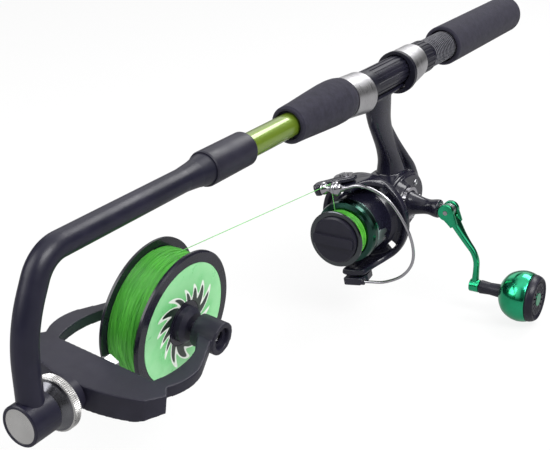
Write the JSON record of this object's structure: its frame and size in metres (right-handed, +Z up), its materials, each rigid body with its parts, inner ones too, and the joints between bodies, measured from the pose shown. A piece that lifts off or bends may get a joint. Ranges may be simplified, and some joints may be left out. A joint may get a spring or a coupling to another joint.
{
  "type": "fishing line winder",
  "caption": "Hand-held line winder: spinning reel on a short rod handle, with a bent front arm whose swivelling fork carries a supply spool of line.",
  "frame": {"origin": "on the rod axis, half way along the rear grip", "axes": "+X forward along the rod to the winder arm, +Y to the crank side, +Z up"},
  "size_m": [0.562, 0.1521, 0.1641],
  "materials": {
    "grip_foam": "closed-cell foam, fine matt grain",
    "rod_lacquer": "glossy olive-green lacquer",
    "seat_plastic": "moulded, satin",
    "hood_metal": "brushed sleeve",
    "black_plastic": "moulded, satin",
    "arm_paint": "satin black paint",
    "bright_metal": "turned and knurled",
    "steel": "ground",
    "chrome_trim": "polished plating",
    "reel_black": "painted composite, semi-gloss",
    "crank_green": "anodised, mirror bright",
    "spool_green": "dark anodised",
    "knob_black": "moulded",
    "gunmetal": "satin",
    "gear_brass": "machined",
    "gear_alloy": "die cast",
    "spool_plastic": "moulded",
    "label_green": "printed film",
    "line_green": "braided line"
  },
  "bodies": {
    "handle": {"rear_grip": "grip_foam", "rod_blank": "rod_lacquer", "reel_seat": "seat_plastic", "fixed_hood": "hood_metal", "fore_grip": "grip_foam", "socket_sleeve": "black_plastic", "winder_arm": "arm_paint", "head_disc": "bright_metal", "swivel_stud": "steel", "friction_washer": "black_plastic", "stud_end_nut": "steel", "reel_body": "reel_black", "side_cover": "reel_black", "cover_screws": "steel", "cover_ring": "chrome_trim", "shaft_bearings": "steel", "pinion_bearing": "steel", "free_line": "line_green"},
    "sliding_hood": {"sliding_hood": "hood_metal", "hood_ring": "seat_plastic"},
    "lock_nut": {"lock_nut": "seat_plastic"},
    "tension_nut": {"tension_nut": "bright_metal"},
    "fork": {"spool_fork": "black_plastic", "fixed_cone": "black_plastic", "spring_retainer": "black_plastic", "cone_spring": "steel"},
    "plunger": {"plunger_cone": "black_plastic"},
    "line_spool": {"line_spool": "spool_plastic", "spool_labels": "label_green", "line_core": "line_green", "line_winding": "line_green"},
    "crank": {"drive_gear": "gear_alloy", "drive_shaft": "steel", "crank_shroud": "reel_black"},
    "crank_arm": {"crank_arm": "crank_green", "fold_pin": "steel", "knob_post": "steel"},
    "knob": {"knob_sleeve": "knob_black", "knob_ball": "crank_green", "knob_rim": "knob_black", "knob_disc": "knob_black", "knob_cap": "crank_green"},
    "rotor": {"rotor": "reel_black", "rotor_plates": "gunmetal", "rotor_nut": "steel", "pinion_gear": "gear_brass", "pivot_screws": "steel"},
    "bail": {"bail_arm": "reel_black", "bail_lever": "reel_black", "roller_screw": "steel", "bail_cone": "chrome_trim", "bail_wire": "chrome_trim"},
    "roller": {"line_roller": "chrome_trim"},
    "spool_shaft": {"main_shaft": "steel", "oscillation_slider": "knob_black", "drag_washers": "knob_black"},
    "reel_spool": {"reel_spool": "spool_green", "reel_line_core": "line_green", "reel_line_winding": "line_green"},
    "drag_knob": {"drag_knob": "knob_black"}
  },
  "joints": [
    {"name": "hood_slide", "type": "slide", "parent": "handle", "child": "sliding_hood", "axis": [1, 0, 0], "range_m": [-0.0045, 0]},
    {"name": "lock_nut_turn", "type": "hinge", "parent": "sliding_hood", "child": "lock_nut", "pos_m": [0.10515, 0, 0], "axis": [-1, 0, 0], "range_deg": [0, 1080]},
    {"name": "tension_nut_turn", "type": "hinge", "parent": "handle", "child": "tension_nut", "pos_m": [0.4905, 0, -0.0715], "axis": [1, 0, 0], "range_deg": [-180, 180]},
    {"name": "fork_swivel", "type": "hinge", "parent": "handle", "child": "fork", "pos_m": [0.4905, 0, -0.0715], "axis": [1, 0, 0], "continuous": true},
    {"name": "plunger_slide", "type": "slide", "parent": "fork", "child": "plunger", "axis": [0, 0.9908, -0.135], "range_m": [0, 0.003], "stiffness_N_per_m": 600, "springref_m": -0.003, "deforming": ["cone_spring"]},
    {"name": "line_spool_spin", "type": "hinge", "parent": "fork", "child": "line_spool", "pos_m": [0.3898, 0.00043, -0.06833], "axis": [0, 0.9908, -0.135], "continuous": true, "deforming": ["free_line"]},
    {"name": "crank_turn", "type": "hinge", "parent": "handle", "child": "crank", "pos_m": [0.1535, 0, -0.0845], "axis": [0, 1, 0], "continuous": true},
    {"name": "crank_fold", "type": "hinge", "parent": "crank", "child": "crank_arm", "pos_m": [0.1535, 0.0477, -0.0845], "axis": [1, 0, 0], "range_deg": [0, 90]},
    {"name": "knob_spin", "type": "hinge", "parent": "crank_arm", "child": "knob", "pos_m": [0.1535, 0.0686, -0.1336], "axis": [0, 1, 0], "continuous": true},
    {"name": "rotor_spin", "type": "hinge", "parent": "handle", "child": "rotor", "pos_m": [0.1637, 0, -0.09], "axis": [1, 0, 0], "continuous": true},
    {"name": "bail_swing", "type": "hinge", "parent": "rotor", "child": "bail", "pos_m": [0.197, 0, -0.09], "axis": [0, 0.1736, -0.9848], "range_deg": [0, 110]},
    {"name": "line_roller_spin", "type": "hinge", "parent": "bail", "child": "roller", "pos_m": [0.217, -0.00573, -0.0575], "axis": [0, 0.9848, 0.1736], "continuous": true},
    {"name": "spool_oscillation", "type": "slide", "parent": "handle", "child": "spool_shaft", "axis": [1, 0, 0], "range_m": [-0.006, 0.0005]},
    {"name": "drag_slip", "type": "hinge", "parent": "spool_shaft", "child": "reel_spool", "pos_m": [0.1637, 0, -0.09], "axis": [1, 0, 0], "continuous": true},
    {"name": "drag_knob_turn", "type": "hinge", "parent": "spool_shaft", "child": "drag_knob", "pos_m": [0.1637, 0, -0.09], "axis": [1, 0, 0], "range_deg": [-720, 720]}
  ],
  "couplings": [
    {"joint": "rotor_spin", "follows": "crank_turn", "ratio": -5},
    {"joint": "lock_nut_turn", "follows": "hood_slide", "rad_per_m": -4188.8}
  ]
}
